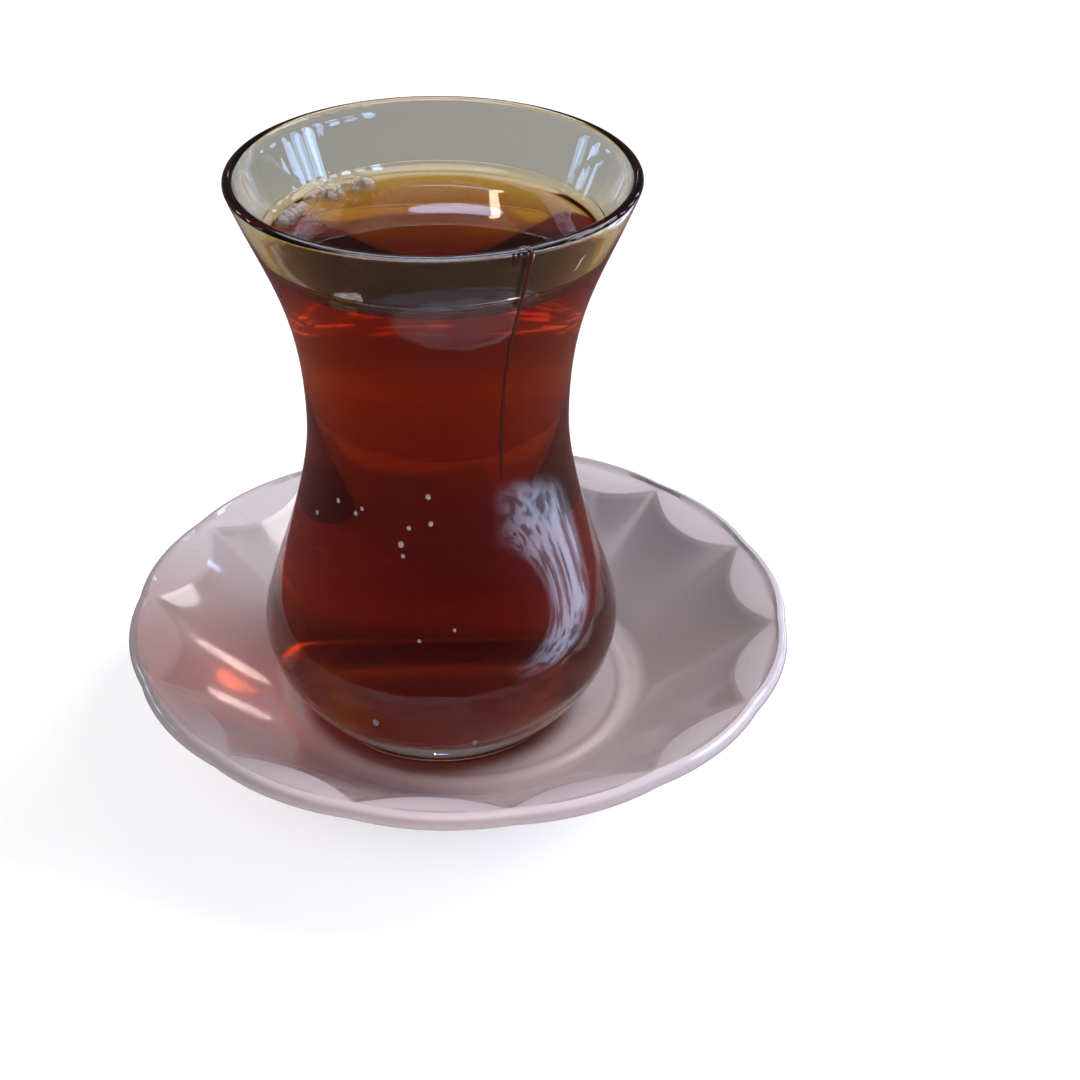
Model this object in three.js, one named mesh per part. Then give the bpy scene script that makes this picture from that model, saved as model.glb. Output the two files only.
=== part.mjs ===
// A filled tulip-shaped tea glass standing on its small fluted saucer.
// Millimetres, +Z up. The saucer's centre is the origin and its foot stands on z = 0.
import * as THREE from "three";

// Saucer: overall sizes
const saucerRimRadius = 50.2;
const saucerHeight = 19.0;
const saucerFloorTop = 5.2;
const saucerEdgeThickness = 2.7;
const lobeCount = 14;
const segmentsPerLobe = 8;
// A crease between two lobes lies at this azimuth; the others follow at equal steps.
const creaseAzimuth = THREE.MathUtils.degToRad(176);

// Saucer: flat floor, the low ring round it and the fluted wall
const floorRadius = 23.6;
const floorRingRadius = 25.2;
const floorRingRise = 0.35;
const wallFootRadius = 28.6;
const wallFootRise = 0.3;
const bandRadiusAtLobe = 43.2;
const bandRadiusAtCrease = 48.0;
const bandInnerHeight = 16.9;
const creaseSharpness = 2.2;
const wallSag = 2.2;
const lobeSwell = 0.6;
const bandSwell = 0.7;
const rimWave = 0.45;

// Saucer: foot ring below
const footRingOuter = 29.0;
const footRingInner = 25.6;
const footRingChamfer = 0.6;
const footRecess = 1.5;
const undersideStartRadius = 29.4;
const undersideStartHeight = 3.4;
const undersideSag = 1.6;

// Glass: heights are measured up from the plane that its foot stands on
const glassHeight = 86.0;
const glassFootPlane = 5.5;
const glassAxisX = -2.74;
const glassAxisY = -3.39;
const footRadius = 18.4;
const footRounding = 0.6;
const footHollow = 0.9;
const footHollowRadius = 14.0;
const bellyRadius = 26.45;
const bellyHeight = 16.0;
const waistRadius = 18.65;
const waistHeight = 49.4;
const rimRadius = 28.0;
const roundSegments = 48;

// Glass: how far each curve of the outline runs on straight before it bends away
const footPullOut = 4.4;
const footPullUp = 4.6;
const bellyPullDown = 6.2;
const bellyPullUp = 5.2;
const waistPullDown = 13.2;
const waistPullUp = 18.0;
const rimPullDown = 11.8;
const rimFlare = 0.37;

// Glass: wall, lip and the thick clear base
const wallThickness = 1.55;
const wallExtraBelow = 0.5;
const lipDrop = 0.8;
const baseThickness = 5.4;
const innerBellyLift = 2.4;
const innerBellyPullDown = 10.0;
const floorPull = 22.5;
const flatFloorRadius = 9.0;
const pointsPerCurve = 7;

// Tea: level above the foot plane, and the thin space left to the glass wall
const teaLevel = 76.0;
const teaClearance = 0.3;

const porcelain = new THREE.MeshStandardMaterial({
  name: "porcelain",
  color: new THREE.Color(0.62, 0.5, 0.5),
  roughness: 0.18,
  metalness: 0,
});
const clearGlass = new THREE.MeshStandardMaterial({
  name: "glass",
  color: new THREE.Color(0.86, 0.88, 0.88),
  roughness: 0.04,
  metalness: 0,
  transparent: true,
  opacity: 0.3,
});
const blackTea = new THREE.MeshStandardMaterial({
  name: "tea",
  color: new THREE.Color(0.14, 0.012, 0.002),
  roughness: 0.08,
  metalness: 0,
});

// A closed solid from rings that share one axis. Each ring is a function that gives
// [radius, height] for an azimuth; the first and last rings are single points [0, height].
function ringSolid(topHeight, rings, bottomHeight, segments, startAzimuth) {
  const position = [0, 0, topHeight];
  for (const ring of rings) {
    for (let s = 0; s < segments; s += 1) {
      const azimuth = startAzimuth + (2 * Math.PI * s) / segments;
      const [radius, height] = ring(s);
      position.push(radius * Math.cos(azimuth), radius * Math.sin(azimuth), height);
    }
  }
  position.push(0, 0, bottomHeight);
  const last = position.length / 3 - 1;
  const at = (ring, s) => 1 + ring * segments + (s % segments);
  const index = [];
  for (let s = 0; s < segments; s += 1) {
    index.push(0, at(0, s), at(0, s + 1));
    for (let ring = 0; ring + 1 < rings.length; ring += 1) {
      const [a, b] = [at(ring, s), at(ring, s + 1)];
      const [c, d] = [at(ring + 1, s), at(ring + 1, s + 1)];
      index.push(a, c, d, a, d, b);
    }
    index.push(at(rings.length - 1, s), last, at(rings.length - 1, s + 1));
  }
  const geometry = new THREE.BufferGeometry();
  geometry.setAttribute("position", new THREE.Float32BufferAttribute(position, 3));
  geometry.setIndex(index);
  geometry.computeVertexNormals();
  return geometry;
}

// How far a segment is from the middle of its lobe: 0 in the middle, 1 on a crease.
function creaseShare(s) {
  const place = (s % segmentsPerLobe) / segmentsPerLobe;
  return Math.abs(1 - 2 * place);
}

// The saucer's top from its middle out, then round the rim and back in below.
function saucerGeometry() {
  const mix = THREE.MathUtils.lerp;
  const bandRadius = (s) => mix(bandRadiusAtLobe, bandRadiusAtCrease, creaseShare(s) ** creaseSharpness);
  const rimRadiusAt = (s) => saucerRimRadius - rimWave * creaseShare(s) ** 2;
  const swell = (s) => 1 - creaseShare(s) ** 2;
  const bandSlope = (saucerHeight - bandInnerHeight) / (saucerRimRadius - bandRadiusAtLobe);
  const bandHeight = (radius) => bandInnerHeight + bandSlope * (radius - bandRadiusAtLobe);

  const level = (radius, height) => () => [radius, height];
  const wall = (share) => (s) => {
    const radius = mix(wallFootRadius, bandRadius(s), share);
    const rise = mix(saucerFloorTop + wallFootRise, bandHeight(bandRadius(s)), share);
    // The wall starts level and steepens, so its section hangs a little below a straight line.
    const bow = share * (1 - share);
    return [radius, rise + (lobeSwell * swell(s) - wallSag) * bow];
  };
  const band = (share) => (s) => {
    const radius = mix(bandRadius(s), rimRadiusAt(s) - 0.5 * saucerEdgeThickness, share);
    return [radius, bandHeight(radius) + bandSwell * swell(s) * share * (1 - share)];
  };
  // The rim is a half round of the edge thickness, tilted as the band is.
  const edge = (turn) => (s) => {
    const half = 0.5 * saucerEdgeThickness;
    const angle = THREE.MathUtils.degToRad(turn);
    const radius = rimRadiusAt(s) - half + half * Math.sin(angle);
    return [radius, saucerHeight - half + half * Math.cos(angle)];
  };
  const underside = (share) => () => {
    const outerRadius = saucerRimRadius - 0.9 * saucerEdgeThickness;
    const radius = mix(outerRadius, undersideStartRadius, share);
    const height = mix(saucerHeight - saucerEdgeThickness, undersideStartHeight, share);
    return [radius, height - undersideSag * share * (1 - share)];
  };

  const rings = [
    level(0.5 * floorRadius, saucerFloorTop),
    level(floorRadius, saucerFloorTop),
    level(floorRingRadius, saucerFloorTop + floorRingRise),
    level(0.5 * (floorRingRadius + wallFootRadius), saucerFloorTop),
    wall(0),
    wall(0.2),
    wall(0.4),
    wall(0.6),
    wall(0.8),
    wall(1),
    band(0.5),
    edge(0),
    edge(45),
    edge(90),
    edge(135),
    underside(0),
    underside(0.25),
    underside(0.5),
    underside(0.75),
    underside(1),
    level(footRingOuter, footRingChamfer),
    level(footRingOuter - footRingChamfer, 0),
    level(footRingInner, 0),
    level(footRingInner - footRingChamfer, footRecess),
  ];
  const segments = lobeCount * segmentsPerLobe;
  return ringSolid(saucerFloorTop, rings, footRecess, segments, creaseAzimuth);
}

// The outer outline from the edge of the foot to the lip, as three smooth curves.
function outerOutline() {
  const path = new THREE.Path();
  path.moveTo(footRadius - footRounding, 0);
  path.lineTo(footRadius, footRounding);
  path.bezierCurveTo(
    footRadius + footPullOut, footRounding + footPullUp,
    bellyRadius, bellyHeight - bellyPullDown,
    bellyRadius, bellyHeight,
  );
  path.bezierCurveTo(
    bellyRadius, bellyHeight + bellyPullUp,
    waistRadius, waistHeight - waistPullDown,
    waistRadius, waistHeight,
  );
  path.bezierCurveTo(
    waistRadius, waistHeight + waistPullUp,
    rimRadius - rimFlare * rimPullDown, glassHeight - lipDrop - rimPullDown,
    rimRadius, glassHeight - lipDrop,
  );
  return path.getPoints(pointsPerCurve);
}

// The inner outline from the lip down to the axis, one wall inside the outer one.
// The inset is how much further in it lies; the tea uses it to stay clear of the wall.
function innerOutline(inset) {
  const lip = rimRadius - wallThickness - inset;
  const waist = waistRadius - wallThickness - wallExtraBelow - inset;
  const belly = bellyRadius - wallThickness - wallExtraBelow - inset;
  const floor = baseThickness + inset;
  const innerBellyHeight = bellyHeight + innerBellyLift;
  const path = new THREE.Path();
  path.moveTo(lip, glassHeight - lipDrop);
  path.bezierCurveTo(
    lip - rimFlare * rimPullDown, glassHeight - lipDrop - rimPullDown,
    waist, waistHeight + waistPullUp,
    waist, waistHeight,
  );
  path.bezierCurveTo(
    waist, waistHeight - waistPullDown,
    belly, innerBellyHeight + bellyPullUp,
    belly, innerBellyHeight,
  );
  path.bezierCurveTo(
    belly, innerBellyHeight - innerBellyPullDown,
    floorPull - inset, floor,
    flatFloorRadius, floor,
  );
  path.lineTo(0, floor);
  return path.getPoints(pointsPerCurve);
}

function latheUpright(points) {
  const geometry = new THREE.LatheGeometry(points, roundSegments);
  geometry.rotateX(Math.PI / 2);
  return geometry;
}

function glassGeometry() {
  const lipRounding = 0.5 * wallThickness;
  const shoulder = glassHeight - 0.3 * lipDrop;
  const points = [
    new THREE.Vector2(0, footHollow),
    new THREE.Vector2(0.6 * footHollowRadius, 0.8 * footHollow),
    new THREE.Vector2(footHollowRadius, 0),
    ...outerOutline(),
    new THREE.Vector2(rimRadius - 0.3 * lipRounding, shoulder),
    new THREE.Vector2(rimRadius - lipRounding, glassHeight),
    new THREE.Vector2(rimRadius - 1.7 * lipRounding, shoulder),
    ...innerOutline(0),
  ];
  return latheUpright(points);
}

// The tea fills the inside up to its level, where its edge lies on the inner outline.
function teaGeometry() {
  const inside = innerOutline(teaClearance);
  const first = inside.findIndex((point) => point.y < teaLevel);
  const [above, below] = [inside[first - 1], inside[first]];
  const share = (teaLevel - below.y) / (above.y - below.y);
  const edge = THREE.MathUtils.lerp(below.x, above.x, share);
  const points = [
    ...inside.slice(first).reverse(),
    new THREE.Vector2(edge, teaLevel),
    new THREE.Vector2(0, teaLevel),
  ];
  return latheUpright(points);
}

function named(name, geometry, material) {
  const mesh = new THREE.Mesh(geometry, material);
  mesh.name = name;
  return mesh;
}

const part = new THREE.Group();
part.name = "turkish_tea_glass";
part.add(named("saucer", saucerGeometry(), porcelain));

const glass = glassGeometry();
glass.translate(glassAxisX, glassAxisY, glassFootPlane);
part.add(named("tea_glass", glass, clearGlass));

const tea = teaGeometry();
tea.translate(glassAxisX, glassAxisY, glassFootPlane);
part.add(named("tea", tea, blackTea));

export default part;
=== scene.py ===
# %% [markdown]
# # A glass of tea on its saucer
# This lesson dresses a small filled tea glass that stands on a fluted porcelain saucer.
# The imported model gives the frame: where every piece is and how large it may be. Each cell
# below makes one piece or one finish in metres, in that same frame, with +Z up.

import math

import bpy
from mathutils import Matrix, Vector


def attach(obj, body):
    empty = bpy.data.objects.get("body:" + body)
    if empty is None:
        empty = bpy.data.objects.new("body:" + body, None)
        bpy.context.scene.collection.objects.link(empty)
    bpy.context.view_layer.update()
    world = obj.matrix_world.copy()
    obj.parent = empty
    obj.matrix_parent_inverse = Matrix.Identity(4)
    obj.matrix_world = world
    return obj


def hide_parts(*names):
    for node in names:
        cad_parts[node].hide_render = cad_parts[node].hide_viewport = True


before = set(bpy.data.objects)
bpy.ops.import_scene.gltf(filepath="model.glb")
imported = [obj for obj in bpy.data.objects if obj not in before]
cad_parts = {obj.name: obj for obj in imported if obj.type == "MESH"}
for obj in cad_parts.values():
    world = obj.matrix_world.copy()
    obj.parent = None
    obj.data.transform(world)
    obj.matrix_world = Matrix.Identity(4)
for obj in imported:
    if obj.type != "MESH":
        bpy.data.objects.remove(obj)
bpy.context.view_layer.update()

# %% [markdown]
# ## The camera
# A camera could be placed by eye, but then every later comparison drifts. This one is worked
# out instead: its height, tilt and focal length are the ones under which the rim, the waist,
# the belly and the saucer all fall on their outlines. It looks down by a third of a right angle.

# %% Camera
MM = 0.001
CAMERA_PLACE = Vector((5.65, -259.67, 197.58)) * MM
CAMERA_DOWN = math.radians(32.70)
CAMERA_YAW = math.radians(1.416)
CAMERA_ROLL = math.radians(0.662)
FOCAL_PIXELS = 2053.7
IMAGE_PIXELS = 1080
SENSOR_WIDTH = 36.0

ahead = Vector((
    math.sin(CAMERA_YAW) * math.cos(CAMERA_DOWN),
    math.cos(CAMERA_YAW) * math.cos(CAMERA_DOWN),
    -math.sin(CAMERA_DOWN),
))
level_right = ahead.cross(Vector((0, 0, 1))).normalized()
level_up = level_right.cross(ahead)
right = math.cos(CAMERA_ROLL) * level_right + math.sin(CAMERA_ROLL) * level_up
upward = math.cos(CAMERA_ROLL) * level_up - math.sin(CAMERA_ROLL) * level_right

camera_data = bpy.data.cameras.new("camera")
camera_data.sensor_width = SENSOR_WIDTH
camera_data.lens = SENSOR_WIDTH * FOCAL_PIXELS / IMAGE_PIXELS
camera_data.clip_start = 0.01
camera_data.clip_end = 20
camera = bpy.data.objects.new("camera", camera_data)
bpy.context.scene.collection.objects.link(camera)
turn = Matrix((right, upward, -ahead)).transposed()
camera.matrix_world = Matrix.Translation(CAMERA_PLACE) @ turn.to_4x4()
bpy.context.scene.camera = camera
print("lens", round(camera_data.lens, 2))

# %% [markdown]
# ## Shader maths in plain Python
# Materials here are sums and products of masks. Wiring each Math node by hand hides the idea,
# so a small class wraps a socket: adding or multiplying two wrapped sockets adds the node.
# Colours and vectors never go through a Math node, which would turn them grey.

# %% Shader helper
class Wire:
    """One output socket of a material, with arithmetic on it."""

    def __init__(self, kit, socket):
        self.kit = kit
        self.socket = socket

    def _math(self, operation, first, second):
        node = self.kit.node("ShaderNodeMath", {"operation": operation}, {0: first, 1: second})
        return node[0]

    def __add__(self, other):
        return self._math("ADD", self, other)

    __radd__ = __add__

    def __sub__(self, other):
        return self._math("SUBTRACT", self, other)

    def __rsub__(self, other):
        return self._math("SUBTRACT", other, self)

    def __mul__(self, other):
        return self._math("MULTIPLY", self, other)

    __rmul__ = __mul__

    def __truediv__(self, other):
        return self._math("DIVIDE", self, other)

    def __pow__(self, other):
        return self._math("POWER", self, other)


class Kit:
    def __init__(self, name):
        self.material = bpy.data.materials.new(name)
        self.material.use_nodes = True
        self.take(self.material.node_tree, "ShaderNodeOutputMaterial")

    def take(self, tree, output_kind):
        self.tree = tree
        tree.nodes.clear()
        self.output = tree.nodes.new(output_kind)

    def node(self, kind, settings=None, values=None):
        made = self.tree.nodes.new(kind)
        for name, value in (settings or {}).items():
            if name == "stops":
                ramp = made.color_ramp.elements
                while len(ramp) < len(value):
                    ramp.new(0.5)
                for stop, (place, colour) in zip(ramp, value):
                    stop.position = place
                    stop.color = (*colour, 1)
            else:
                setattr(made, name, value)
        for name, value in (values or {}).items():
            if isinstance(value, Wire):
                self.tree.links.new(value.socket, made.inputs[name])
            else:
                made.inputs[name].default_value = value
        return [Wire(self, socket) for socket in made.outputs]

    def place(self):
        return self.node("ShaderNodeTexCoord")[3]

    def noise(self, scale, detail=3.0, roughness=0.5, vector=None):
        made = self.node("ShaderNodeTexNoise", {}, {
            "Vector": vector or self.place(), "Scale": scale,
            "Detail": detail, "Roughness": roughness,
        })
        return made[0]

    def blend(self, share, first, second):
        made = self.node("ShaderNodeMix", {"data_type": "RGBA"}, {0: share, 6: first, 7: second})
        return made[2]

    def steps(self, value, low, high, out_low=0.0, out_high=1.0):
        return self.node("ShaderNodeMapRange", {"interpolation_type": "SMOOTHSTEP"}, {
            0: value, 1: low, 2: high, 3: out_low, 4: out_high,
        })[0]

    def bump(self, height, distance, strength=1.0):
        return self.node("ShaderNodeBump", {}, {
            "Height": height, "Distance": distance, "Strength": strength,
        })[0]

    def mix_shader(self, share, first, second):
        return self.node("ShaderNodeMixShader", {}, {0: share, 1: first, 2: second})[0]

    def finish(self, shader):
        self.tree.links.new(shader.socket, self.output.inputs["Surface"])

    def surface(self, values):
        self.finish(self.node("ShaderNodeBsdfPrincipled", {}, values)[0])

    def absorb(self, colour, density):
        inside = self.node("ShaderNodeVolumeAbsorption", {}, {
            "Color": (*colour, 1), "Density": density,
        })[0]
        self.tree.links.new(inside.socket, self.output.inputs["Volume"])


print("shader helper ready")

# %% [markdown]
# ## Turning a round piece
# The glass, the tea and the saucer are all rings round an axis. Blender's Screw modifier could
# spin an outline, but a written grid of rings is just as short and lets each ring vary with
# the angle, which the fluted saucer needs. The first and last rings close on a single point.

# %% Ring builder
def link(name, mesh, place=(0, 0, 0)):
    made = bpy.data.objects.new(name, mesh)
    made.location = place
    bpy.context.scene.collection.objects.link(made)
    return made


def ring_piece(name, first_point, rings, last_point, around, smooth_angle=40):
    """rings holds functions of the azimuth that give (radius, height). Edges that bend by
    more than smooth_angle degrees stay sharp."""
    corners = [first_point]
    for ring in rings:
        for step in range(around):
            azimuth = 2 * math.pi * step / around
            radius, height = ring(azimuth)
            corners.append((radius * math.cos(azimuth), radius * math.sin(azimuth), height))
    corners.append(last_point)
    last = len(corners) - 1
    faces = []
    for step in range(around):
        after = (step + 1) % around
        faces.append((0, 1 + step, 1 + after))
        for ring in range(len(rings) - 1):
            here, below = 1 + ring * around, 1 + (ring + 1) * around
            faces.append((here + step, below + step, below + after, here + after))
        end = 1 + (len(rings) - 1) * around
        faces.append((end + step, last, end + after))
    mesh = bpy.data.meshes.new(name)
    mesh.from_pydata(corners, [], faces)
    mesh.shade_smooth()
    made = link(name, mesh)
    mesh.set_sharp_from_angle(angle=math.radians(smooth_angle))
    return made


def bezier(start, pull_start, pull_end, end, count):
    """Points along one curve, without its first point."""
    points = []
    for step in range(1, count + 1):
        t = step / count
        weights = ((1 - t) ** 3, 3 * t * (1 - t) ** 2, 3 * t * t * (1 - t), t ** 3)
        points.append(tuple(
            sum(w * p[axis] for w, p in zip(weights, (start, pull_start, pull_end, end)))
            for axis in (0, 1)
        ))
    return points


print("ring builder ready")

# %% [markdown]
# ## The glass
# A tulip glass is blown or pressed in a mould: a heavy clear base, a round belly, a narrow
# waist that stays cool enough to hold, and a flared lip melted round by a flame. Its outline
# is three long curves, so three Bezier curves per side give it without any list of points.

# %% Glass outline
GLASS_AXIS = Vector((-2.74, -3.39, 0)) * MM
FOOT_PLANE = 5.5 * MM
GLASS_HEIGHT = 86.0
FOOT_RADIUS = 18.4
BELLY_RADIUS, BELLY_HEIGHT = 26.45, 16.0
WAIST_RADIUS, WAIST_HEIGHT = 18.65, 49.4
RIM_RADIUS = 28.0
WALL = 1.55
WALL_EXTRA = 0.5
BASE = 5.4
FLAT_FLOOR = 9.0
LIP_DROP = 0.8
FOOT_ROUNDING = 0.6

# The curves' pull points: a height on the belly's or the waist's own upright, or a length.
FOOT_PULL_OUT, FOOT_PULL_HEIGHT = 4.4, 5.2
BELLY_PULL_LOW, BELLY_PULL_HIGH = 9.8, 21.2
WAIST_PULL_LOW, WAIST_PULL_HIGH = 36.2, 67.4
RIM_PULL, RIM_FLARE = 11.8, 0.37
INNER_BELLY_HEIGHT = 18.4
INNER_PULL_LOW, INNER_PULL_HIGH = 8.4, 23.6
FLOOR_PULL = 22.5
CURVE_STEPS = 22
ROUND_STEPS = 160


def outer_outline():
    lip_height = GLASS_HEIGHT - LIP_DROP
    foot = (FOOT_RADIUS, FOOT_ROUNDING)
    belly = (BELLY_RADIUS, BELLY_HEIGHT)
    waist = (WAIST_RADIUS, WAIST_HEIGHT)
    rim = (RIM_RADIUS, lip_height)
    points = [(FOOT_RADIUS - FOOT_ROUNDING, 0.0)]
    points += [(FOOT_RADIUS - 0.3 * FOOT_ROUNDING, 0.3 * FOOT_ROUNDING), foot]
    points += bezier(
        foot, (FOOT_RADIUS + FOOT_PULL_OUT, FOOT_PULL_HEIGHT),
        (BELLY_RADIUS, BELLY_PULL_LOW), belly, CURVE_STEPS)
    points += bezier(
        belly, (BELLY_RADIUS, BELLY_PULL_HIGH), (WAIST_RADIUS, WAIST_PULL_LOW), waist,
        CURVE_STEPS)
    flare = (RIM_RADIUS - RIM_FLARE * RIM_PULL, lip_height - RIM_PULL)
    points += bezier(waist, (WAIST_RADIUS, WAIST_PULL_HIGH), flare, rim, CURVE_STEPS)
    return points


def inner_outline(reach=0.0):
    """From the lip down to the axis; reach pushes it out into the wall."""
    lip_height = GLASS_HEIGHT - LIP_DROP
    lip = RIM_RADIUS - WALL + reach
    waist = WAIST_RADIUS - WALL - WALL_EXTRA + reach
    belly = BELLY_RADIUS - WALL - WALL_EXTRA + reach
    floor = BASE - reach
    points = [(lip, lip_height)]
    points += bezier(
        points[-1], (lip - RIM_FLARE * RIM_PULL, lip_height - RIM_PULL),
        (waist, WAIST_PULL_HIGH), (waist, WAIST_HEIGHT), CURVE_STEPS)
    points += bezier(
        points[-1], (waist, WAIST_PULL_LOW), (belly, INNER_PULL_HIGH),
        (belly, INNER_BELLY_HEIGHT), CURVE_STEPS)
    points += bezier(
        points[-1], (belly, INNER_PULL_LOW), (FLOOR_PULL, floor), (FLAT_FLOOR, floor),
        CURVE_STEPS)
    points.append((0.0, floor))
    return points


def turned(name, outline):
    """Turns an outline that starts and ends on the axis, and stands it in the glass's place.
    Outlines run either way, so the faces are turned outward when they come out inside out."""
    rings = [lambda azimuth, p=p: (p[0] * MM, p[1] * MM) for p in outline[1:-1]]
    first = (0, 0, outline[0][1] * MM)
    last = (0, 0, outline[-1][1] * MM)
    made = ring_piece(name, first, rings, last, ROUND_STEPS)
    shift = GLASS_AXIS + Vector((0, 0, FOOT_PLANE))
    made.data.transform(Matrix.Translation(shift))
    if made.data.polygons[0].normal.z > 0:
        made.data.flip_normals()
    return made


LIP_SWELL = 1.02
lip_round = [
    (RIM_RADIUS - 0.5 * WALL + 0.5 * WALL * math.cos(turn) * LIP_SWELL,
     GLASS_HEIGHT - LIP_DROP + LIP_DROP * math.sin(turn))
    for turn in (math.pi * step / 10 for step in range(1, 10))
]
foot_hollow = [(0.0, 0.9), (4.0, 0.86), (8.0, 0.7), (11.0, 0.4), (13.2, 0.1), (14.2, 0.0)]
glass_outline = foot_hollow + outer_outline() + lip_round + inner_outline()
glass = turned("clear_glass", glass_outline)
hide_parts("tea_glass")
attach(glass, "root")
print("glass faces", len(glass.data.polygons))

# %% [markdown]
# ## The tea
# Tea is a solid volume to the renderer: light loses its blue first, then its green, the further
# it travels, so a thin edge is amber and the belly nearly black-red. Its sides reach just into
# the glass wall, because an air gap there would shine like a mirror. Where it meets the wall,
# it climbs in a small curve, the meniscus.

# %% Tea body
TEA_LEVEL = 76.0
WALL_REACH = 0.12
MENISCUS_RISE, MENISCUS_WIDTH = 1.9, 3.2
MENISCUS_STEPS, MENISCUS_CROWDING, MENISCUS_FALL = 14, 1.7, 3.4


def radius_on(outline, height):
    """The radius at which an outline that runs downward passes a height."""
    for above, below in zip(outline, outline[1:]):
        if above[1] >= height > below[1]:
            share = (height - below[1]) / (above[1] - below[1])
            return below[0] + share * (above[0] - below[0])
    return outline[-1][0]


side = inner_outline(WALL_REACH)
top_height = TEA_LEVEL + MENISCUS_RISE
top_radius = radius_on(side, top_height)
tea_outline = [p for p in reversed(side) if p[1] < top_height] + [(top_radius, top_height)]
for step in range(1, MENISCUS_STEPS + 1):
    out_share = (step / MENISCUS_STEPS) ** MENISCUS_CROWDING
    rise = MENISCUS_RISE * math.exp(-MENISCUS_FALL * out_share)
    rise -= MENISCUS_RISE * math.exp(-MENISCUS_FALL) * out_share
    inward = MENISCUS_WIDTH * out_share
    tea_outline.append((top_radius - WALL_REACH - inward, TEA_LEVEL + rise))
flat_radius = top_radius - MENISCUS_WIDTH - 0.5
tea_outline += [(share * flat_radius, TEA_LEVEL) for share in (0.9, 0.6, 0.3, 0.0)]
tea = turned("tea_body", tea_outline)
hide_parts("tea")
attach(tea, "root")
print("tea faces", len(tea.data.polygons))

# %% [markdown]
# ## Bubbles at the edge
# Pouring leaves a few bubbles that drift to the wall and cling there. Each is a thin film of
# tea round air, so it is made as two shells, one just inside the other, and not as a solid
# ball, which would act as a lens. Four small clusters hold them, each bubble of its own size.

# %% Bubbles
import random

import bmesh

draw = random.Random(7)
FILM = 0.05
BUBBLE_SIZES = (0.75, 1.5)
BUBBLE_LIMIT = 22.9
# Each cluster: first and last azimuth in degrees, number of bubbles, radius from the axis.
CLUSTERS = [(118, 148, 7, 21.4), (121, 143, 4, 19.6), (152, 171, 5, 21.2), (-123, -114, 3, 21.5)]


def on_glass(azimuth, radius, height):
    """A place given by azimuth in degrees, radius from the glass's axis and height, in mm."""
    turn = math.radians(azimuth)
    return GLASS_AXIS + Vector((
        radius * math.cos(turn) * MM, radius * math.sin(turn) * MM, FOOT_PLANE + height * MM))


def add_ball(shape, centre, radius, inward=False):
    made = bmesh.ops.create_icosphere(shape, subdivisions=3, radius=radius * MM)
    for corner in made["verts"]:
        corner.co += centre
    if inward:
        ball_faces = {face for corner in made["verts"] for face in corner.link_faces}
        bmesh.ops.reverse_faces(shape, faces=list(ball_faces))


bubble_shape = bmesh.new()
for first, last, count, out in CLUSTERS:
    for step in range(count):
        azimuth = first + (last - first) * (step + 0.5 * draw.random()) / count
        size = draw.uniform(*BUBBLE_SIZES)
        radius = min(out + draw.uniform(-0.3, 0.3), BUBBLE_LIMIT - size)
        spot = on_glass(azimuth, radius, TEA_LEVEL + 0.45 * size)
        add_ball(bubble_shape, spot, size)
        add_ball(bubble_shape, spot, size - FILM, inward=True)
bubble_mesh = bpy.data.meshes.new("edge_bubbles")
bubble_shape.to_mesh(bubble_mesh)
bubble_shape.free()
bubble_mesh.shade_smooth()
bubbles = link("edge_bubbles", bubble_mesh)
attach(bubbles, "root")
print("bubble faces", len(bubble_mesh.polygons))

# %% [markdown]
# ## A run of tea
# Some tea has run over the lip and down the front of the wall, and has dried to a dark line
# that ends at the waist. A thin strip swept along the glass's own outline keeps it touching
# the wall all the way; its section is a low arch with its edges sunk in the glass. It bends a
# little sideways near the lip and narrows towards its end.

# %% Run of tea
RUN_AZIMUTH = -61.5
RUN_HALF_WIDTH, RUN_TAPER = 0.42, 0.45
RUN_THICKNESS, RUN_SINK = 0.22, 0.05
RUN_END = 47.0
RUN_SWAY, RUN_SWING, RUN_BEND = 0.12, 7.0, 2.4
ACROSS = 6
lip_over = [(RIM_RADIUS - WALL - 0.1, GLASS_HEIGHT - 2.2), (RIM_RADIUS - WALL, GLASS_HEIGHT - 0.9)]
lip_over += list(reversed(lip_round))
down = [p for p in reversed(outer_outline()) if p[1] > RUN_END]
path = lip_over + down
corners, faces = [], []
for index, (radius, height) in enumerate(path):
    share = index / (len(path) - 1)
    before, after = path[max(index - 1, 0)], path[min(index + 1, len(path) - 1)]
    along = Vector((after[0] - before[0], after[1] - before[1])).normalized()
    outward = Vector((-along.y, along.x))
    width = RUN_HALF_WIDTH * (1 - RUN_TAPER * share) * min(1.0, 12 * (1 - share) + 0.35)
    width *= 1 + 0.14 * math.sin(23 * share) + 0.08 * math.sin(61 * share)
    sway = RUN_SWAY * math.sin(RUN_SWING * share) - RUN_BEND * (1 - share) ** 3
    for side_step in range(ACROSS + 1):
        across = 2 * side_step / ACROSS - 1
        lift = RUN_THICKNESS * (1 - across ** 2) - RUN_SINK
        turn = math.radians(RUN_AZIMUTH) + (sway + across * width) / radius
        spot = on_glass(math.degrees(turn), radius + outward.x * lift, height + outward.y * lift)
        corners.append(spot)
for index in range(len(path) - 1):
    for side_step in range(ACROSS):
        a = index * (ACROSS + 1) + side_step
        faces.append((a, a + 1, a + ACROSS + 2, a + ACROSS + 1))
run_mesh = bpy.data.meshes.new("tea_run")
run_mesh.from_pydata(corners, [], faces)
run_mesh.shade_smooth()
run_strip = link("tea_run", run_mesh)
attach(run_strip, "root")
print("run of tea", round(path[0][1] - path[-1][1], 1), "mm long")

# %% [markdown]
# ## Drops on the wall
# A few small drops stand on the belly and catch the light. They are low domes: balls squashed
# flat against the wall and sunk half into it, so only the cap shows.

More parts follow.
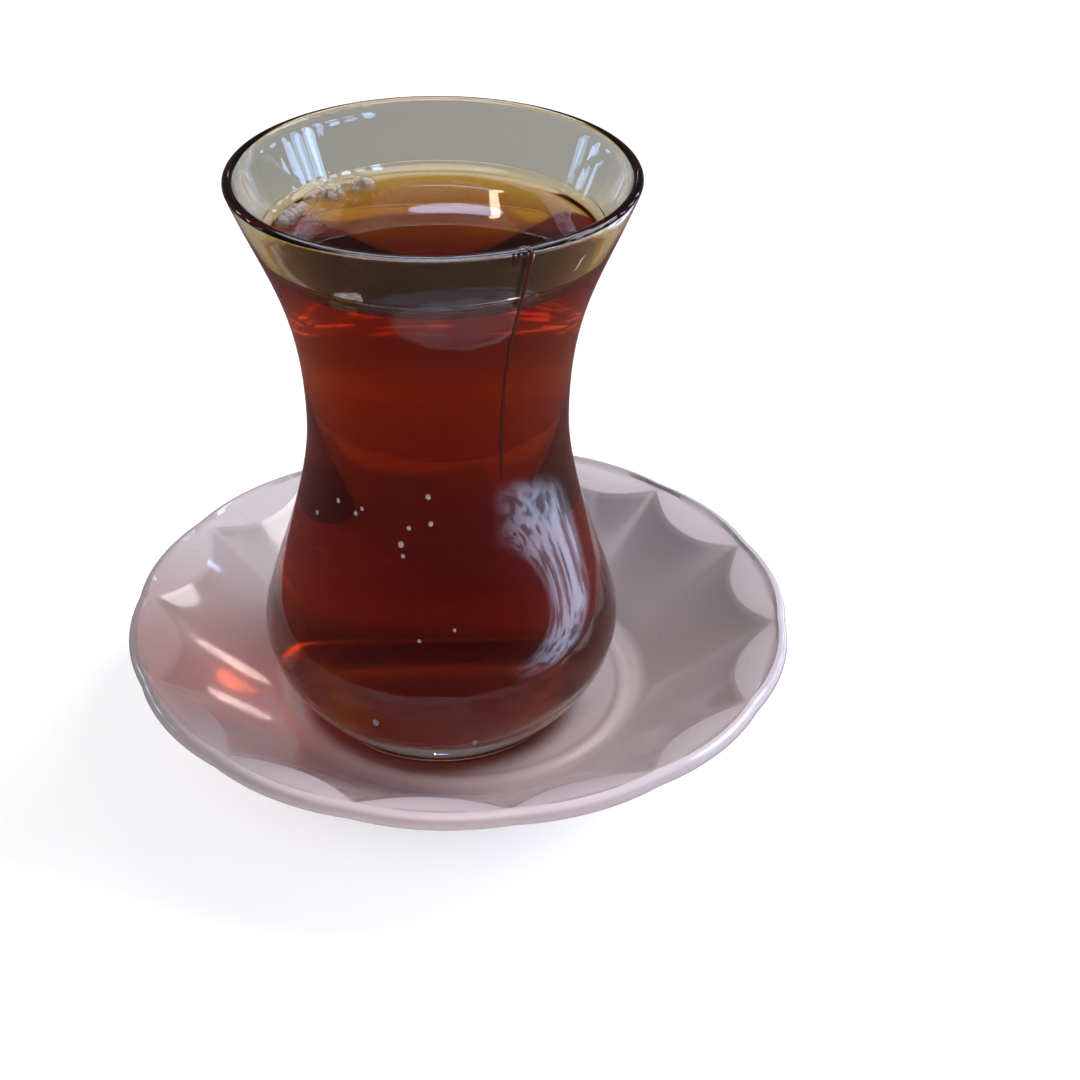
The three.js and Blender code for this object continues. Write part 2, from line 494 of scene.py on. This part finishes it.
# %% Drops
DROP_DEPTH, DROP_LENGTH = 0.55, 1.3
# Azimuth in degrees, height and radius in millimetres.
DROPS = [
    (-135, 42.8, 0.34), (-148, 39.0, 0.30), (-125, 42.1, 0.32), (-122, 43.1, 0.28),
    (-93, 46.5, 0.36), (-92, 42.5, 0.34), (-101, 41.7, 0.30), (-104, 39.2, 0.42),
    (-103, 37.6, 0.30),
    (-96, 26.0, 0.26), (-84, 27.5, 0.24), (-110, 12.5, 0.5), (-78, 8.4, 0.4),
]
drop_shape = bmesh.new()
for azimuth, height, size in DROPS:
    radius = radius_on(list(reversed(outer_outline())), height)
    made = bmesh.ops.create_icosphere(drop_shape, subdivisions=2, radius=size * MM)
    facing = Matrix.Rotation(math.radians(azimuth), 3, "Z")
    spot = on_glass(azimuth, radius, height)
    for corner in made["verts"]:
        x, y, z = corner.co
        corner.co = facing @ Vector((x * DROP_DEPTH, y, z * DROP_LENGTH)) + spot
drop_mesh = bpy.data.meshes.new("wall_drops")
drop_shape.to_mesh(drop_mesh)
drop_shape.free()
drop_mesh.shade_smooth()
drops = link("wall_drops", drop_mesh)
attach(drops, "root")
print("drops", len(DROPS))

# %% [markdown]
# ## The saucer
# The saucer is pressed porcelain. A smooth band runs round the rim, and its inner edge swings
# in and out over fourteen lobes; between the lobes sharp creases run down into the well. Rings
# whose radius follows the lobes put mesh edges right on the creases, so they stay crisp.

# %% Saucer body
SAUCER_RIM = 50.2
SAUCER_HEIGHT = 19.0
FLOOR_TOP = 5.2
EDGE = 2.7
LOBES = 14
CREASE_AZIMUTH = math.radians(176)
CREASE_SHARPNESS = 2.2
BAND_AT_LOBE, BAND_AT_CREASE = 43.2, 48.0
BAND_HEIGHT, BAND_SWELL = 16.9, 0.7
BAND_SLOPE = (SAUCER_HEIGHT - BAND_HEIGHT) / (SAUCER_RIM - BAND_AT_LOBE)
WALL_FOOT, WALL_TOP, WALL_RISE = 28.6, 45.0, 0.3
WALL_SAG, LOBE_SWELL = 2.2, 0.6
RIM_WAVE = 0.45
FLOOR_RADIUS = 23.6
RING_WIDTH, RING_RISE, RING_STEPS = 3.2, 0.35, 8
UNDER_RADIUS, UNDER_HEIGHT, UNDER_SAG = 29.4, 3.4, 1.6
WALL_STEPS = 18


def crease_share(azimuth):
    """0 in the middle of a lobe, 1 on a crease."""
    place = ((azimuth - CREASE_AZIMUTH) * LOBES / (2 * math.pi)) % 1.0
    return abs(1 - 2 * place)


def mix(first, second, share):
    return first + (second - first) * share


def band_radius(azimuth):
    return mix(BAND_AT_LOBE, BAND_AT_CREASE, crease_share(azimuth) ** CREASE_SHARPNESS)


def soft_band_radius(azimuth):
    """The same swing with its cusps rounded off, for lower down in the well."""
    wave = 0.5 - 0.5 * math.cos(math.pi * crease_share(azimuth))
    return mix(BAND_AT_LOBE, BAND_AT_CREASE, 0.9 * wave ** 1.3)


def rim_radius(azimuth):
    return SAUCER_RIM - RIM_WAVE * crease_share(azimuth) ** 2


def band_height(radius):
    return BAND_HEIGHT + BAND_SLOPE * (radius - BAND_AT_LOBE)


def swell(azimuth):
    return 1 - crease_share(azimuth) ** 2


def saucer_wall(share):
    """The fluted wall of the well, from its foot at 0 to the band at 1."""
    def ring(azimuth):
        low_edge = mix(WALL_TOP, soft_band_radius(azimuth), 0.35)
        edge = mix(low_edge, band_radius(azimuth), share ** 2.5)
        radius = mix(WALL_FOOT, edge, share)
        rise = mix(FLOOR_TOP + WALL_RISE, band_height(edge), share)
        bow = share * (1 - share)
        return radius * MM, (rise + (LOBE_SWELL * swell(azimuth) - WALL_SAG) * bow) * MM
    return ring


def saucer_band(share):
    def ring(azimuth):
        radius = mix(band_radius(azimuth), rim_radius(azimuth) - 0.5 * EDGE, share)
        bow = share * (1 - share)
        return radius * MM, (band_height(radius) + BAND_SWELL * swell(azimuth) * bow) * MM
    return ring


def saucer_edge(turn):
    def ring(azimuth):
        half = 0.5 * EDGE
        radius = rim_radius(azimuth) - half + half * math.sin(turn)
        return radius * MM, (SAUCER_HEIGHT - half + half * math.cos(turn)) * MM
    return ring


def saucer_under(share):
    radius = mix(SAUCER_RIM - 0.9 * EDGE, UNDER_RADIUS, share)
    height = mix(SAUCER_HEIGHT - EDGE, UNDER_HEIGHT, share) - UNDER_SAG * share * (1 - share)
    return lambda azimuth: (radius * MM, height * MM)


def flat_ring(radius, height):
    return lambda azimuth: (radius * MM, height * MM)


saucer_rings = [flat_ring(r, FLOOR_TOP) for r in (8, 16, 21, FLOOR_RADIUS)]
for step in range(1, RING_STEPS + 1):
    rise = 0.5 * RING_RISE * (1 - math.cos(2 * math.pi * step / RING_STEPS))
    saucer_rings.append(flat_ring(FLOOR_RADIUS + RING_WIDTH * step / RING_STEPS, FLOOR_TOP + rise))
saucer_rings += [flat_ring(27.6, FLOOR_TOP + 0.08)]
saucer_rings += [saucer_wall(step / WALL_STEPS) for step in range(WALL_STEPS)]
saucer_rings += [saucer_wall(0.985), saucer_wall(1.0), saucer_band(0.03)]
saucer_rings += [saucer_band(step / 8) for step in range(1, 8)]
saucer_rings += [saucer_edge(math.pi * step / 12) for step in range(0, 10)]
saucer_rings += [saucer_under(step / 10) for step in range(0, 11)]
FOOT_RING = [
    (29.0, 0.7), (28.8, 0.2), (28.4, 0.0), (25.6, 0.0), (25.2, 0.2), (25.0, 1.5), (12, 1.5),
]
saucer_rings += [flat_ring(radius, height) for radius, height in FOOT_RING]
saucer = ring_piece(
    "porcelain_saucer", (0, 0, FLOOR_TOP * MM), saucer_rings, (0, 0, FOOT_RING[-1][1] * MM),
    LOBES * 24, smooth_angle=30)
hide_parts("saucer")
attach(saucer, "root")
print("saucer faces", len(saucer.data.polygons))

# %% [markdown]
# ## Clear glass
# Clear glass has hardly any colour: a Principled shader with full transmission bends and
# mirrors the light, its base colour takes away a little of it, and a thin smear of roughness
# noise stands for the film that hot tea leaves on the wall.

# %% Glass finish
GLASS_INDEX = 1.5
kit = Kit("clear_glass")
smear = kit.steps(kit.noise(60, 4, 0.6), 0.52, 0.8, 0.0, 0.035)
kit.surface({
    "Base Color": (0.94, 0.955, 0.95, 1),
    "Roughness": smear,
    "IOR": GLASS_INDEX,
    "Transmission Weight": 1.0,
})
glass.data.materials.append(kit.material)
print("glass bends light by", GLASS_INDEX)

# %% [markdown]
# ## The wet side of the glass
# Under the tea the inner wall hardly mirrors, because glass and tea bend light almost alike:
# what counts there is the glass's index over the tea's. So those faces get a finish of their
# own. The thick base is made rougher, which blurs the hard edges that its lens shape would
# show. The faces are picked by their height and their distance from the axis.

# %% Wet glass finish
TEA_INDEX = 1.333
WET_BASE_TOP, WET_MARGIN = 14.0, 0.06
for name, roughness in (("wet_glass", 0.08), ("wet_base", 0.34)):
    kit = Kit(name)
    tint = kit.blend(kit.noise(80, 2, 0.5), (0.97, 0.98, 0.975, 1), (0.96, 0.97, 0.965, 1))
    kit.surface({
        "Base Color": tint,
        "Roughness": roughness,
        "IOR": GLASS_INDEX / TEA_INDEX,
        "Transmission Weight": 1.0,
    })
    glass.data.materials.append(kit.material)


def wet_finish(face):
    """0 for a dry face, 1 for the inner wall below the tea's level, 2 for its curved base."""
    middle = face.center - GLASS_AXIS
    height = (middle.z - FOOT_PLANE) / MM
    out = math.hypot(middle.x, middle.y) / MM
    if height > TEA_LEVEL or height < BASE - WET_MARGIN:
        return 0
    if out > radius_on(inner_outline(), height) + WET_MARGIN:
        return 0
    return 2 if height < WET_BASE_TOP else 1


for face in glass.data.polygons:
    face.material_index = wet_finish(face)
print("wet faces", sum(face.material_index > 0 for face in glass.data.polygons))

# %% [markdown]
# ## Tea in depth
# The colour is not painted on: a Volume Absorption node takes light away along its path. The
# three strengths come from how dark the neck and the belly look over their known thickness.
# Brewed tea is also a little cloudy: light that scatters in it keeps its darkest parts deep
# red. A faint red glow at its side stands for that, cheaper than a scattering volume.
#
# Where the tea meets the air it bends light as water does. At the glass the wet wall has done
# that already, so the tea's side is given an index of almost one. Both are one material, mixed
# by height, because a volume has to end at a face of the material that it began with.

# %% Tea finish
TEA_LOSS_PER_METRE = (41.0, 120.0, 560.0)
TEA_DENSITY = 562.0
HARDLY_BENDS = 1.001
CLOUDY_RED, CLOUDY_GLOW = (1.0, 0.03, 0.005, 1), 0.014
kit = Kit("black_tea")
ripple = kit.steps(kit.noise(90, 2, 0.5), 0.6, 0.9, 0.0, 0.02)
at_wall, open_face = (
    kit.node("ShaderNodeBsdfPrincipled", {}, {
        "Base Color": (1, 1, 1, 1), "Roughness": ripple,
        "IOR": index, "Transmission Weight": 1.0,
        "Emission Color": CLOUDY_RED, "Emission Strength": glow,
    })[0]
    for index, glow in ((HARDLY_BENDS, CLOUDY_GLOW), (TEA_INDEX, 0.0))
)
height = kit.node("ShaderNodeSeparateXYZ", {}, {0: kit.place()})[2]
level = FOOT_PLANE + TEA_LEVEL * MM
open_share = kit.steps(height, level - 0.4 * MM, level - 0.2 * MM)
kit.finish(kit.mix_shader(open_share, at_wall, open_face))
kit.absorb([1 - loss / TEA_DENSITY for loss in TEA_LOSS_PER_METRE], TEA_DENSITY)
tea.data.materials.append(kit.material)
print("tea loses per metre", TEA_LOSS_PER_METRE)

# %% [markdown]
# ## Film, dried run and drops
# The bubble film is mostly clear, with a little white in it, as foam has. The drops are half
# clear and pale pinkish: partly the whitish lime that drying water leaves, partly painted
# reflection of the pale room, which they mirror more than the tea behind them. The dried
# run is opaque and dark red-brown, patchy as it dried, under a wet gloss.

# %% Small wet finishes
kit = Kit("bubble_film")
kit.surface({
    "Base Color": kit.blend(
        kit.noise(400, 2, 0.5), (1.0, 0.97, 0.93, 1), (0.98, 0.90, 0.82, 1)),
    "Roughness": 0.02,
    "IOR": TEA_INDEX,
    "Transmission Weight": 0.91,
})
bubble_mesh.materials.append(kit.material)

kit = Kit("dried_run")
patchy = kit.noise(700, 3, 0.6)
kit.surface({
    "Base Color": kit.blend(patchy, (0.040, 0.006, 0.003, 1), (0.075, 0.012, 0.005, 1)),
    "Roughness": kit.steps(patchy, 0.3, 0.8, 0.05, 0.2),
    "Specular IOR Level": 0.5,
})
run_mesh.materials.append(kit.material)

# The drops' pale pinkish colour is partly whitish lime and partly painted reflection of the pale
# room.
kit = Kit("drops_painted_reflection")
kit.surface({
    "Base Color": kit.blend(
        kit.noise(500, 2, 0.5), (0.80, 0.72, 0.70, 1), (0.66, 0.56, 0.54, 1)),
    "Roughness": 0.15,
    "IOR": TEA_INDEX,
    "Transmission Weight": 0.45,
})
drop_mesh.materials.append(kit.material)
print("small finishes ready")

# %% [markdown]
# ## Glazed porcelain
# The glaze is a pale rose white, a little uneven in tone, with fine specks. The well is painted
# darker and the band round the rim lighter: painted shade in the well and painted light on the
# band, for how the light falls on them. The gloss is a clear coat over a softer body, so
# highlights stay sharp and small. The band round the rim lies on a shallow cone, so a point's
# height above that cone tells the shader whether it is on the band. Round the foot of the glass
# the glaze is painted dark red-brown: painted shade, for the shade under the glass that light
# coming through the tea reddens. That ring is measured from the glass's axis.

# %% Porcelain finish
BAND_STEP = (-0.0007, -0.0001)
UNDER_GLASS_SHADE_EDGE = (0.0185, 0.0225)
kit = Kit("glazed_porcelain")
cloud = kit.noise(28, 3, 0.55)
speck = kit.steps(kit.noise(900, 2, 0.5), 0.68, 0.74)
along = kit.node("ShaderNodeSeparateXYZ", {}, {0: kit.place()})
from_middle = (along[0] * along[0] + along[1] * along[1]) ** 0.5
cone = (from_middle - BAND_AT_LOBE * MM) * BAND_SLOPE + BAND_HEIGHT * MM
on_band = kit.steps(along[2] - cone, *BAND_STEP)
# Painted shade and painted light: the well's colour is darker than the band's, for how the light
# falls on them.
well = kit.blend(cloud, (0.58, 0.495, 0.51, 1), (0.51, 0.43, 0.445, 1))
band = kit.blend(cloud, (0.72, 0.635, 0.66, 1), (0.66, 0.575, 0.60, 1))
body = kit.blend(on_band, well, band)
# Painted shade: the glaze round the glass's foot turns dark red-brown, for the shade under the
# glass that light coming through the tea reddens.
off_x, off_y = along[0] - GLASS_AXIS.x, along[1] - GLASS_AXIS.y
from_axis = (off_x * off_x + off_y * off_y) ** 0.5
wander = (kit.noise(55, 3, 0.5) - 0.5) * 0.004
painted_shade_under_glass = 1 - kit.steps(from_axis + wander, *UNDER_GLASS_SHADE_EDGE)
body = kit.blend(painted_shade_under_glass * 0.92, body, (0.16, 0.045, 0.03, 1))
kit.surface({
    "Base Color": kit.blend(speck * 0.25, body, (0.40, 0.32, 0.31, 1)),
    "Roughness": kit.steps(kit.noise(120, 3, 0.6), 0.3, 0.8, 0.10, 0.22),
    "Specular IOR Level": 0.6,
    "Coat Weight": 0.5,
    "Coat Roughness": 0.06,
    "Normal": kit.bump(kit.noise(70, 2, 0.5), 0.00012, 0.6),
})
saucer.data.materials.append(kit.material)
print("materials", [m.name for m in bpy.data.materials])

# %% [markdown]
# ## Floor
# Glass has no look of its own: it shows the room. A white floor all round would turn the tea
# milky. So the floor is pale to the eye and to matt surfaces, and only rays that have passed
# through or mirrored in something glossy meet a dim tearoom instead. The Light Path node tells
# those rays apart. What they see depends on how far from the glass they land: warm brown close
# by, grey further out, and a few bright streaks far behind, which ripple in the tea's neck.
# To the right lies one cool bright patch that shows only in mirrors, as a window does.

# %% Floor
ROOM_BY_DISTANCE = [
    (0.0, (0.17, 0.095, 0.010)), (0.11, (0.25, 0.165, 0.030)), (0.15, (0.32, 0.26, 0.17)),
    (0.21, (0.200, 0.190, 0.165)), (0.30, (0.200, 0.190, 0.165)), (0.36, (0.32, 0.28, 0.24)),
]
WEAVE_SCALE, WEAVE_SHARE = (9, 30, 1), 0.8
WEAVE_COLOUR, WEAVE_GLOW = (1.0, 0.80, 0.50, 1), (0.16, 0.10, 0.045, 1)
ROOM_DARK = (0.105, 0.042, 0.040, 1)
PATCH_COLOUR, PATCH_BRIGHTNESS = (0.60, 0.70, 1.0, 1), 7.5
BLACK = (0, 0, 0, 1)
floor_mesh = bpy.data.meshes.new("floor")
REACH = 3.0
floor_mesh.from_pydata(
    [(-REACH, -REACH, 0), (REACH, -REACH, 0), (REACH, REACH, 0), (-REACH, REACH, 0)],
    [], [(0, 1, 2, 3)])
floor = link("floor", floor_mesh)
kit = Kit("floor_paint")
ray = kit.node("ShaderNodeLightPath")
mirrored, passed = ray[3] * ray[5], ray[3] * ray[6]
paint = kit.blend(kit.noise(3, 2, 0.5), (0.86, 0.86, 0.86, 1), (0.89, 0.89, 0.89, 1))
spot = kit.node("ShaderNodeSeparateXYZ", {}, {0: kit.place()})
away = (spot[0] * spot[0] + spot[1] * spot[1]) ** 0.5
room = kit.node("ShaderNodeValToRGB", {"stops": ROOM_BY_DISTANCE}, {0: away})[0]
stretched = kit.node("ShaderNodeMapping", {}, {"Vector": kit.place(), "Scale": WEAVE_SCALE})[0]
weave = kit.steps(kit.noise(1.0, 1.0, 0.5, stretched), 0.55, 0.60)
weave = weave * kit.steps(away, 0.31, 0.34) * (1 - kit.steps(away, 0.60, 0.80))
weave = weave * kit.steps(spot[1], 0.0, 0.10)
room = kit.blend(weave * WEAVE_SHARE, room, WEAVE_COLOUR)
paint = kit.blend(passed, kit.blend(mirrored, paint, ROOM_DARK), room)
glow = kit.blend(weave * passed, BLACK, WEAVE_GLOW)
side_way = spot[1] / (away + 0.001)
patch = kit.steps(away, 0.120, 0.160) * (1 - kit.steps(away, 0.24, 0.36))
patch = patch * kit.steps(side_way, -0.80, -0.25) * (1 - kit.steps(side_way, 0.62, 0.80))
patch = patch * kit.steps(spot[0], 0.0, 0.02)
patch = patch * kit.steps(kit.noise(30, 3, 0.6), 0.40, 0.56, 0.25, 1.0)
glow = kit.blend(patch * mirrored, glow, PATCH_COLOUR)
kit.surface({
    "Base Color": paint,
    "Roughness": 0.75,
    "Emission Color": glow,
    "Emission Strength": PATCH_BRIGHTNESS,
})
kit.material.cycles.emission_sampling = "NONE"
floor_mesh.materials.append(kit.material)
print("floor reach", REACH)

# %% [markdown]
# ## Sky
# The sky follows the same idea: white to the eye, a soft grey light on matt surfaces, dim to
# rays that mirror in or pass through the glass. Only its top is bright in mirrors, like a
# pale ceiling.

# %% Sky
SKY_SEEN, SKY_MATT, SKY_PASSED, SKY_MIRRORED, CEILING_MIRRORED = 1.0, 0.20, 0.16, 0.08, 1.6
world = bpy.data.worlds.new("sky")
bpy.context.scene.world = world
world.use_nodes = True
kit.take(world.node_tree, "ShaderNodeOutputWorld")
ray = kit.node("ShaderNodeLightPath")
upness = kit.node("ShaderNodeSeparateXYZ", {}, {0: kit.node("ShaderNodeTexCoord")[0]})[2]
room = kit.steps(upness, 0.62, 0.86, SKY_MIRRORED, CEILING_MIRRORED)
mirrored, passed = ray[3] * ray[5], ray[3] * ray[6]
strength = SKY_MATT + mirrored * (room - SKY_MATT) + passed * (SKY_PASSED - SKY_MATT)
strength = strength + ray[0] * (SKY_SEEN - SKY_MATT)
background = kit.node("ShaderNodeBackground", {}, {
    "Color": (0.97, 0.97, 1.0, 1), "Strength": strength,
})
kit.finish(background[0])
print("sky", SKY_SEEN, SKY_MATT, SKY_PASSED, SKY_MIRRORED, CEILING_MIRRORED)

# %% [markdown]
# ## Making a light
# All lights are soft area lights. Their power is worked out from how bright they should look
# in a mirror, so a light can be moved or resized and its image keeps its brightness. Light
# linking lets a light reach only some pieces.

# %% Light helper
def soft_light(name, place, target, size, brightness, colour, only=()):
    """A light; brightness is what a mirror would show. only limits it to some pieces, and
    then it has no mirror image."""
    data = bpy.data.lights.new(name, "AREA")
    data.shape = "ELLIPSE"
    data.size, data.size_y = size
    data.energy = brightness * math.pi * size[0] * size[1] * math.pi / 4
    data.color = colour
    made = bpy.data.objects.new(name, data)
    made.location = place
    made.rotation_euler = (Vector(target) - Vector(place)).to_track_quat("-Z", "Y").to_euler()
    made.visible_camera = False
    bpy.context.scene.collection.objects.link(made)
    if only:
        made.visible_glossy = False
        made.visible_transmission = False
        group = bpy.data.collections.new(name + "_lights_only")
        for piece in only:
            group.objects.link(piece)
        made.light_linking.receiver_collection = group
    return made


def around_glass(azimuth, elevation, distance):
    """A place seen from the middle of the glass under these angles, in degrees."""
    turn, lift = math.radians(azimuth), math.radians(elevation)
    flat = distance * math.cos(lift)
    return Vector((flat * math.cos(turn), flat * math.sin(turn), 0.085 + distance * math.sin(lift)))


def shade_by_own_pieces(light):
    """Only the pieces that the light reaches cast its shadows."""
    light.light_linking.blocker_collection = light.light_linking.receiver_collection


print("light helper ready")

# %% [markdown]
# ## Soft light for the whole scene
# One large soft light from the right and one above it shape the glass and the saucer. Three
# weak ones reach the saucer alone: they lift its front, tint the glaze in front of the glass
# pink, as light that has come through tea does, and brighten its far side.

# %% Main lights
soft_light("key_right", around_glass(14, 33, 0.8), (0, 0, 0.03), (0.5, 0.36), 6, (1.0, 0.98, 0.97))
top_light = soft_light("top_light", around_glass(25, 52, 0.9), (0, 0, 0.02), (0.5, 0.4), 7,
                       (0.97, 0.97, 1.0))
top_light.visible_glossy = False
soft_light("front_fill", around_glass(-105, 40, 0.9), (0, 0, 0.02), (0.6, 0.3), 0.5,
           (1.0, 0.96, 0.95), only=(saucer,))
pink = soft_light("pink_fill", (-0.04, -0.25, 0.26), (0.004, -0.033, 0.006), (0.05, 0.05), 0.45,
                  (1.0, 0.72, 0.68), only=(saucer,))
pink.data.spread = math.radians(14)
soft_light("back_light", around_glass(105, 36, 0.9), (0, 0, 0.02), (0.5, 0.25), 4,
           (1.0, 0.88, 0.86), only=(saucer,))
print("main lights", len(bpy.data.lights))

# %% [markdown]
# ## What mirrors in the glass
# The cool streaks inside the mouth are window panes, a row of small panels on the right and
# three on the left, each of its own height and brightness, as panes with curtains are. A thin
# warm lamp and a flat window stand behind, where the tea's surface mirrors them. Two long
# boxes overhead reach only the wet pieces, and draw the light lines along the lip.

# %% Mirrored lights
RIM_MIDDLE = Vector((-0.003, -0.003, 0.085))
COOL = (0.42, 0.62, 1.0)
WARM = (1.0, 0.80, 0.58)
# Azimuth and elevation in degrees, width and height in metres, brightness.
PANES = [
    (-50, 15, 0.09, 0.08, 12), (-38, 15, 0.10, 0.05, 8), (-27, 14, 0.09, 0.06, 13),
    (-17, 12, 0.06, 0.11, 8), (-9, 13, 0.07, 0.15, 12), (0, 13, 0.07, 0.14, 8),
    (8, 14, 0.05, 0.12, 12), (18, 13, 0.08, 0.12, 9), (28, 12, 0.05, 0.14, 10),
    (38, 11, 0.07, 0.12, 8), (48, 11, 0.05, 0.12, 8),
    (151, 7, 0.07, 0.10, 8), (161, 9, 0.05, 0.12, 10), (172, 8, 0.06, 0.10, 6),
]
for azimuth, elevation, wide, tall, brightness in PANES:
    soft_light("window", around_glass(azimuth, elevation, 0.7), RIM_MIDDLE, (wide, tall),
               brightness, COOL)
for name, azimuth, elevation, size, brightness, colour in (
    ("lamp_behind", 89.0, 22.2, (0.006, 0.034), 10, WARM),
    ("window_behind", 91.0, 22.7, (0.055, 0.008), 5.5, (0.52, 0.62, 1.0)),
):
    soft_light(name, around_glass(azimuth, elevation, 0.7), RIM_MIDDLE, size, brightness, colour)
wet_pieces = (glass, tea, bubbles, drops, run_strip)
rim_box = soft_light("rim_box", around_glass(-90, 67, 0.6), RIM_MIDDLE, (0.9, 0.38), 4.5,
                     (1.0, 0.95, 0.97), only=wet_pieces)
crown_box = soft_light("crown_box", around_glass(90, 65, 0.6), RIM_MIDDLE, (0.9, 0.3), 6,
                       (0.60, 0.72, 1.0), only=wet_pieces)
for mirror_light in (rim_box, crown_box):
    mirror_light.visible_glossy = True
    mirror_light.visible_diffuse = False
print("mirrored lights", len(bpy.data.lights))

# %% [markdown]
# ## Light gathered on the saucer
# A round glass of tea works as a lens: it gathers the light from the right into a red glow on
# the left of the saucer, with two pale streaks beside it. Tracing such caustics takes very
# many samples. Narrow beams that reach the saucer alone, and are shaded by it alone, paint
# them quickly. A last soft box gives the glaze its sheen.

# %% Gathered light
GLOW_PLACE, GLOW_SPOT = (0.11, 0.05, 0.16), (-0.0350, -0.0077, 0.010)
STREAK_HEIGHT, STREAK_WIDTH = 0.11, 0.0026
for name, size, brightness, spread, colour in (
    ("glow_core", 0.003, 6, 2.4, (1.0, 0.17, 0.06)),
    ("glow_round", 0.012, 3.2, 14, (1.0, 0.38, 0.30)),
):
    glow_light = soft_light(name, GLOW_PLACE, GLOW_SPOT, (size, size), brightness, colour,
                            only=(saucer,))
    glow_light.data.spread = math.radians(spread)
    shade_by_own_pieces(glow_light)
for middle, turn, length in (
    ((-0.0357, -0.0022), -5.3, 0.0115), ((-0.0327, -0.0130), 1.8, 0.0095),
):
    streak = soft_light("streak", (*middle, STREAK_HEIGHT), (*middle, 0),
                        (length, STREAK_WIDTH), 1.5, (1.0, 0.88, 0.80), only=(saucer,))
    streak.rotation_euler = (0, 0, math.radians(turn))
    streak.data.spread = math.radians(1)
    shade_by_own_pieces(streak)
glaze_box = soft_light("glaze_box", around_glass(90, 42, 0.9), (0, 0, 0.02), (1.1, 0.4), 0.35,
                       (0.94, 0.96, 1.0), only=(saucer,))
glaze_box.visible_glossy = True
glaze_box.visible_diffuse = False
print("lights on the saucer", len(bpy.data.lights))

# %% [markdown]
# ## Even light on the floor
# A very large soft light high above keeps the floor pale on all sides. It reaches the floor
# alone, so it doesn't flatten the shading of the saucer.

# %% Floor light
wash = soft_light("floor_wash", (0.0, 0.0, 2.5), (0, 0, 0), (10.0, 10.0), 1.08, (1, 1, 1),
                  only=(floor,))
shade_by_own_pieces(wash)
print("lights", len(bpy.data.lights))

# %% [markdown]
# ## Render choices that belong to the scene
# Light has to pass six skins to cross the filled glass, so it needs many transmission bounces.
# The Standard view keeps the floor white and the tea's red as deep as the shader makes it.
# Fewer bounces of the other kinds save time, and nothing here depends on them.

# %% Light paths and view
scene = bpy.context.scene
scene.cycles.max_bounces = 12
scene.cycles.transmission_bounces = 12
scene.cycles.glossy_bounces = 4
scene.cycles.diffuse_bounces = 2
scene.view_settings.view_transform = "Standard"
print("bounces", scene.cycles.max_bounces)
